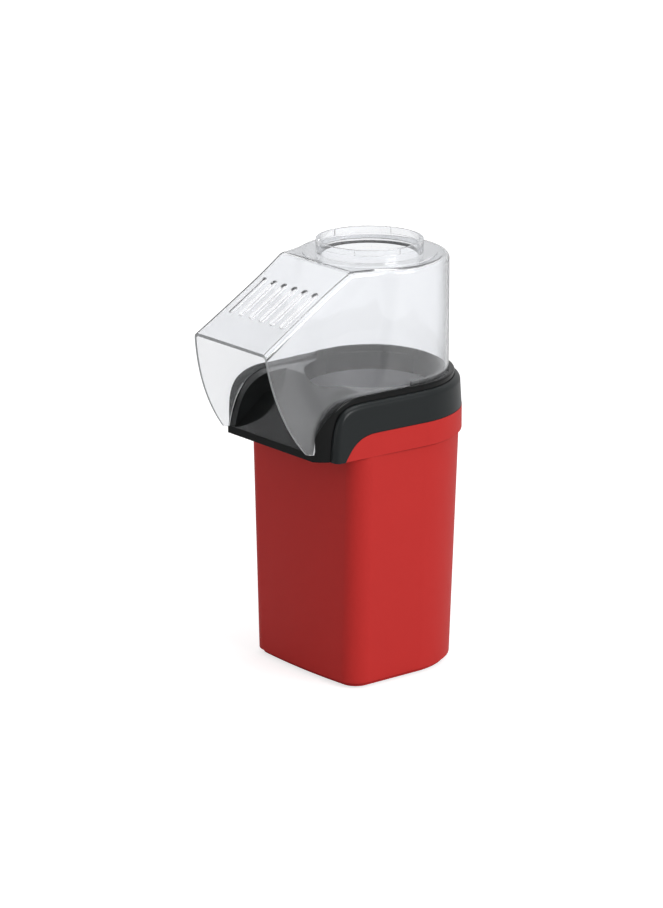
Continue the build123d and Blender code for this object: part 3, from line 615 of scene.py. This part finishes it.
# ---------------------------------------------------------------- operators: finishes
class POPCORN_OT_mouldings(bpy.types.Operator):
    """Finish the red shell, the black trim and tray, and the small plastic parts"""

    bl_idname = "popcorn.mouldings"
    bl_label = "Mouldings"

    def execute(self, context):
        colours = context.scene.popcorn_colours
        dress(
            "red_shell",
            finish(
                "RedShell",
                "MouldedPlastic",
                {
                    "Color": colours.shell,
                    "Roughness": 0.5,
                    "Drift": 0.03,
                    "Scuffs": 0.04,
                    # Painted shade darkens the shell's colour beside its seams.
                    "Seam Depth": 0.8,
                },
                relief=(0.12, 0.0002),
                Specular_IOR_Level=0.18,
            ),
        )
        dress(
            "black_satin",
            finish(
                "BlackSatin",
                "MouldedPlastic",
                # Painted shade darkens the trim's colour beside its seams.
                {"Color": colours.satin, "Roughness": 0.3, "Scuffs": 0.06, "Seam Depth": 0.8},
                Specular_IOR_Level=0.24,
            ),
        )
        dress(
            "black_gloss",
            finish(
                "BlackGloss",
                "MouldedPlastic",
                {"Color": colours.gloss, "Roughness": 0.12, "Scuffs": 0.1},
                relief=(0.03, 0.0002),
                Specular_IOR_Level=0.19,
            ),
        )
        dress(
            "impeller",
            finish(
                "Impeller",
                "MouldedPlastic",
                {"Color": colours.impeller, "Roughness": 0.45, "Scuffs": 0.1},
            ),
        )
        dress(
            "gasket",
            finish(
                "Silicone",
                "MouldedPlastic",
                {"Color": colours.silicone, "Roughness": 0.6, "Grain Scale": 900.0},
                relief=(0.2, 0.0003),
            ),
        )
        return {"FINISHED"}


class POPCORN_OT_clear_hood(bpy.types.Operator):
    """Finish the clear hood"""

    bl_idname = "popcorn.clear_hood"
    bl_label = "Clear hood"

    def execute(self, context):
        colours = context.scene.popcorn_colours
        dress("clear", clear_finish("ClearHood", colours.clear, colours.clear_edge_shade))
        return {"FINISHED"}


class POPCORN_OT_metal(bpy.types.Operator):
    """Finish the popping cup, the sheet metal, the shaft and the switch tabs"""

    bl_idname = "popcorn.metal"
    bl_label = "Metal"

    def execute(self, context):
        colours = context.scene.popcorn_colours
        rows = (
            ("aluminium", "Aluminium", colours.aluminium, 0.32, (1.0, 1.0, 30.0)),
            ("sheet_steel", "SheetSteel", colours.sheet, 0.38, (1.0, 20.0, 1.0)),
            ("steel", "Steel", colours.steel, 0.3, (8.0, 8.0, 8.0)),
            ("brass", "Brass", colours.brass, 0.35, (6.0, 6.0, 1.0)),
        )
        for slot_name, name, colour, roughness, stretch in rows:
            values = {"Color": colour, "Roughness": roughness, "Stretch": stretch}
            dress(slot_name, finish(name, "DrawnMetal", values, Metallic=1.0))
        return {"FINISHED"}


class POPCORN_OT_heater_parts(bpy.types.Operator):
    """Finish the mica frame, the ceramic parts and the rectifier board"""

    bl_idname = "popcorn.heater_parts"
    bl_label = "Heater parts"

    def execute(self, context):
        colours = context.scene.popcorn_colours
        flakes = {"Color": colours.mica, "Cell Color": colours.mica_flake, "Cell Scale": 380.0}
        tracks = {"Color": colours.board, "Cell Color": colours.track, "Cell Scale": 520.0}
        glaze = {"Color": colours.ceramic, "Roughness": 0.3, "Grain Scale": 700.0}
        dress("mica", finish("Mica", "FlatCells", flakes, relief=(0.3, 0.0003)))
        dress("board", finish("Board", "FlatCells", tracks, relief=(0.15, 0.0001)))
        dress("ceramic_white", finish("Ceramic", "MouldedPlastic", glaze))
        return {"FINISHED"}


# ---------------------------------------------------------------- operators: pieces
class POPCORN_OT_heating_coils(bpy.types.Operator):
    """Wind the heater wire into its coils"""

    bl_idname = "popcorn.heating_coils"
    bl_label = "Heating coils"

    def execute(self, context):
        sizes = context.scene.popcorn_sizes
        path = bpy.data.curves.new("HeatingCoils", "CURVE")
        path.dimensions = "3D"
        path.bevel_depth = sizes.wire_diameter / 2
        path.bevel_resolution = 1
        for solid in islands("heating_coils"):
            centre = centre_line(solid)
            low, high = span(solid, 2)
            tube = (high - low) / 2
            ring = half_width(solid) - tube
            turn_radius = tube - sizes.wire_diameter / 2
            turns = round(math.tau * ring / sizes.wire_pitch)
            count = turns * sizes.wire_steps
            line = path.splines.new("POLY")
            line.points.add(count - 1)
            for index, point in enumerate(line.points):
                around = math.tau * index / count
                wound = around * turns
                reach = ring + turn_radius * math.cos(wound)
                point.co = (
                    centre.x + reach * math.cos(around),
                    centre.y + reach * math.sin(around),
                    (low + high) / 2 + turn_radius * math.sin(wound),
                    1.0,
                )
            line.use_cyclic_u = True
        holder = bpy.data.objects.new("HeatingCoilsPath", path)
        context.scene.collection.objects.link(holder)
        context.view_layer.update()
        wound_mesh = bpy.data.meshes.new_from_object(
            holder.evaluated_get(context.evaluated_depsgraph_get())
        )
        bpy.data.objects.remove(holder)
        shape = bmesh.new()
        shape.from_mesh(wound_mesh)
        colour = context.scene.popcorn_colours.wire
        values = {"Color": colour, "Roughness": 0.45, "Stretch": (12.0, 12.0, 12.0)}
        wire = finish("HeaterWire", "DrawnMetal", values, Metallic=1.0)
        save_piece("heater_wire", shape, wire, "heating_coils")
        return {"FINISHED"}


class POPCORN_OT_rubber_feet(bpy.types.Operator):
    """Turn the rubber feet with a rounded edge and a dished sole"""

    bl_idname = "popcorn.rubber_feet"
    bl_label = "Rubber feet"

    def execute(self, context):
        sizes = context.scene.popcorn_sizes
        shape = bmesh.new()
        for solid in islands("rubber_feet"):
            low, high = span(solid, 2)
            radius = half_width(solid)
            rim = sizes.foot_edge
            dish = sizes.foot_dish
            profile = [
                (0.0, high),
                (radius, high),
                (radius, low + rim),
                (radius - EDGE_MIDDLE * rim, low + EDGE_MIDDLE * rim),
                (radius - rim, low),
                (DISH_RIM * radius, low),
                (DISH_SLOPE * radius, low + DISH_SLOPE_DEPTH * dish),
                (DISH_FLAT * radius, low + dish),
                (0.0, low + dish),
            ]
            lathe(shape, profile, centre_line(solid), sizes.lathe_steps)
        colour = context.scene.popcorn_colours.rubber
        values = {"Color": colour, "Roughness": 0.75, "Scuffs": 0.1, "Grain Scale": 900.0}
        rubber = finish("Rubber", "MouldedPlastic", values, relief=(0.3, 0.0003))
        dress("rubber", rubber)
        save_piece("foot_pads", shape, rubber, "rubber_feet")
        return {"FINISHED"}


class POPCORN_OT_screws(bpy.types.Operator):
    """Turn the pan-head screws with their threads and cross recesses"""

    bl_idname = "popcorn.screws"
    bl_label = "Screws"

    def execute(self, context):
        for node_name in ("base_screws", "deck_screws", "motor_screws", "bracket_screws"):
            shape = bmesh.new()
            for solid in islands(node_name):
                self.turn_screw(shape, solid, context.scene.popcorn_sizes)
            steel = bpy.data.materials["Steel"]
            save_piece(node_name + "_threaded", shape, steel, node_name)
        return {"FINISHED"}

    def turn_screw(self, shape, solid, sizes):
        """Adds one screw of the size and place of a CAD solid, whichever way its head looks."""
        centre = centre_line(solid)
        low, high = span(solid, 2)
        radius = half_width(solid)
        flat = [Vector((place.x, place.y, 0.0)) - centre for place in solid]
        head = [place.z for place, out in zip(solid, flat) if out.length > HEAD_FROM * radius]
        shank = max(out.length for out in flat if out.length < HEAD_FROM * radius)
        head_down = abs(min(head) - low) < abs(max(head) - high)
        face, seat = (min(head), max(head)) if head_down else (max(head), min(head))
        tip = high if head_down else low
        inward = 1.0 if head_down else -1.0
        depth = abs(seat - face)
        profile = [
            (0.0, face),
            (RECESS_HUB * radius, face),
            (RECESS_REACH * radius, face),
            (CROWN_RADIUS * radius, face + inward * CROWN_DROP * depth),
            (radius, face + inward * SIDE_DROP * depth),
            (radius, seat),
            (shank, seat),
        ]
        turns = int((abs(tip - seat) - 2 * sizes.thread_pitch) / sizes.thread_pitch)
        for turn in range(1, turns + 1):
            groove = seat + inward * turn * sizes.thread_pitch
            crest = groove + inward * sizes.thread_pitch / 2
            profile += [(shank - sizes.thread_depth, groove), (shank, crest)]
        profile += [(TIP_RADIUS * shank, tip - inward * TIP_LENGTH * shank), (0.0, tip)]
        lathe(shape, profile, centre, sizes.lathe_steps)
        bmesh.ops.remove_doubles(shape, verts=shape.verts, dist=WELD)
        bmesh.ops.recalc_face_normals(shape, faces=shape.faces)
        self.cut_cross(shape, centre, face, radius, depth, sizes.lathe_steps)

    def cut_cross(self, shape, centre, face, radius, depth, steps):
        """Sinks the cross recess into a screw's flat face."""
        half_arm = ARM_SEGMENTS * math.tau / steps
        quarter = math.pi / 2
        chosen = []
        for item in shape.faces:
            out = item.calc_center_median() - centre
            if abs(out.z - face) > FLAT_WITHIN * depth:
                continue
            reach = math.hypot(out.x, out.y)
            turned = math.atan2(out.y, out.x) % quarter
            in_arm = min(turned, quarter - turned) < half_arm
            if reach < RECESS_HUB * radius or (reach < RECESS_REACH * radius and in_arm):
                chosen.append(item)
        bmesh.ops.inset_region(
            shape,
            faces=chosen,
            thickness=RECESS_SLOPE * radius,
            depth=-RECESS_DEPTH * depth,
            use_even_offset=True,
        )


# ---------------------------------------------------------------- operators: stage
class POPCORN_OT_stage(bpy.types.Operator):
    """Set the floor, the lamps, the surround and the camera"""

    bl_idname = "popcorn.stage"
    bl_label = "Stage"

    def execute(self, context):
        scene = context.scene
        stage = scene.popcorn_stage
        scene.view_settings.view_transform = "Standard"
        self.place_camera(scene, stage)
        self.lay_floor(scene, stage)
        self.hang_lamps(scene, stage)
        self.light_surround(scene, stage)
        return {"FINISHED"}

    def place_camera(self, scene, stage):
        """Stands the camera in its place and makes it the scene's camera."""
        camera = bpy.data.cameras.new("Camera")
        camera.lens = stage.lens
        camera.sensor_width = 36.0
        camera.clip_end = 50.0
        holder = bpy.data.objects.new("Camera", camera)
        holder.location = stage.camera_place
        aim = Vector(stage.camera_aim)
        holder.rotation_euler = aim.to_track_quat("-Z", "Y").to_euler()
        scene.collection.objects.link(holder)
        scene.camera = holder

    def hang_lamps(self, scene, stage):
        """Hangs the square lamps, each turned to the maker."""
        for name, place, size, power in LAMPS:
            light = bpy.data.lights.new(name, "AREA")
            light.size = size
            light.energy = getattr(stage, power)
            lamp = bpy.data.objects.new(name, light)
            lamp.location = place
            aim = Vector((0.0, 0.0, stage.aim_height)) - Vector(place)
            lamp.rotation_euler = aim.to_track_quat("-Z", "Y").to_euler()
            scene.collection.objects.link(lamp)

    def lay_floor(self, scene, stage):
        """Lays the pale floor, which looks white and keeps the maker's shadow."""
        mesh = bpy.data.meshes.new("Floor")
        shape = bmesh.new()
        bmesh.ops.create_grid(shape, x_segments=1, y_segments=1, size=stage.floor_size)
        shape.to_mesh(mesh)
        shape.free()
        floor = bpy.data.objects.new("Floor", mesh)
        scene.collection.objects.link(floor)
        material = bpy.data.materials.new("Floor")
        material.use_nodes = True
        tree = material.node_tree
        shader = tree.nodes["Principled BSDF"]
        shader.inputs["Base Color"].default_value = FLOOR_GREY
        shader.inputs["Roughness"].default_value = 1.0
        shader.inputs["Specular IOR Level"].default_value = 0.0
        shader.inputs["Emission Color"].default_value = WHITE
        shown = self.shown_share(tree, FLOOR_THROUGH, FLOOR_MIRRORED * stage.mirrored)
        place = node(tree, "ShaderNodeTexCoord", -900, -600)
        reach = node(tree, "ShaderNodeVectorMath", -700, -600, operation="LENGTH")
        rise = remap(
            tree, -500, -600, low=FLOOR_NEAR, high=FLOOR_FAR, start=FADE_START, end=FADE_END
        )
        lift = math_node(tree, -250, -200, "MULTIPLY")
        link = tree.links.new
        link(place.outputs["Object"], reach.inputs[0])
        link(reach.outputs["Value"], rise.inputs["Value"])
        link(shown.outputs["Value"], lift.inputs[0])
        link(rise.outputs["Result"], lift.inputs[1])
        link(lift.outputs["Value"], shader.inputs["Emission Strength"])
        mesh.materials.append(material)

    def light_surround(self, scene, stage):
        """Makes the surround white to the camera and a plain soft light to the maker."""
        world = bpy.data.worlds.new("World")
        world.use_nodes = True
        scene.world = world
        tree = world.node_tree
        back = tree.nodes["Background"]
        back.inputs["Color"].default_value = WHITE
        shown = self.shown_share(tree, 1.0, stage.mirrored)
        level = remap(tree, -250, 0, low=stage.ambient, high=1.0)
        tree.links.new(shown.outputs["Value"], level.inputs["Value"])
        tree.links.new(level.outputs["Result"], back.inputs["Strength"])

    def shown_share(self, tree, through, mirrored):
        """How white the stage looks: in full to the camera, in part through glass and in gloss."""
        path = node(tree, "ShaderNodeLightPath", -1100, 0)
        seen = math_node(tree, -900, 0, "MULTIPLY_ADD", factor=through)
        gloss = math_node(tree, -900, -200, "MULTIPLY", factor=mirrored)
        shown = math_node(tree, -700, 0, "MAXIMUM")
        link = tree.links.new
        link(path.outputs["Is Transmission Ray"], seen.inputs[0])
        link(path.outputs["Is Camera Ray"], seen.inputs[2])
        link(path.outputs["Is Glossy Ray"], gloss.inputs[0])
        link(seen.outputs["Value"], shown.inputs[0])
        link(gloss.outputs["Value"], shown.inputs[1])
        return shown


# ---------------------------------------------------------------- panel
OPERATORS = (
    POPCORN_OT_mouldings,
    POPCORN_OT_clear_hood,
    POPCORN_OT_metal,
    POPCORN_OT_heater_parts,
    POPCORN_OT_heating_coils,
    POPCORN_OT_rubber_feet,
    POPCORN_OT_screws,
    POPCORN_OT_stage,
)
GROUPS = {
    "popcorn_colours": PopcornColours,
    "popcorn_sizes": PopcornSizes,
    "popcorn_stage": PopcornStage,
}


class POPCORN_PT_panel(bpy.types.Panel):
    """Lists the maker's pieces and their sizes and colours"""

    bl_idname = "POPCORN_PT_panel"
    bl_label = "Popcorn Maker"
    bl_space_type = "VIEW_3D"
    bl_region_type = "UI"
    bl_category = "Popcorn Maker"

    def draw(self, context):
        for operator in OPERATORS:
            self.layout.operator(operator.bl_idname)
        for name, group in GROUPS.items():
            box = self.layout.box()
            for setting in group.__annotations__:
                box.prop(getattr(context.scene, name), setting)


def register():
    """Registers the settings, the operators and the panel."""
    for group in GROUPS.values():
        bpy.utils.register_class(group)
    for operator in OPERATORS:
        bpy.utils.register_class(operator)
    bpy.utils.register_class(POPCORN_PT_panel)
    for name, group in GROUPS.items():
        setattr(bpy.types.Scene, name, PointerProperty(type=group))


def unregister():
    """Takes out what register put in."""
    for name in GROUPS:
        delattr(bpy.types.Scene, name)
    bpy.utils.unregister_class(POPCORN_PT_panel)
    for operator in reversed(OPERATORS):
        bpy.utils.unregister_class(operator)
    for group in reversed(GROUPS.values()):
        bpy.utils.unregister_class(group)


def main():
    """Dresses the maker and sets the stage."""
    register()
    bpy.ops.popcorn.mouldings()
    bpy.ops.popcorn.clear_hood()
    bpy.ops.popcorn.metal()
    bpy.ops.popcorn.heater_parts()
    bpy.ops.popcorn.heating_coils()
    bpy.ops.popcorn.rubber_feet()
    bpy.ops.popcorn.screws()
    bpy.ops.popcorn.stage()


if __name__ == "__main__":
    main()
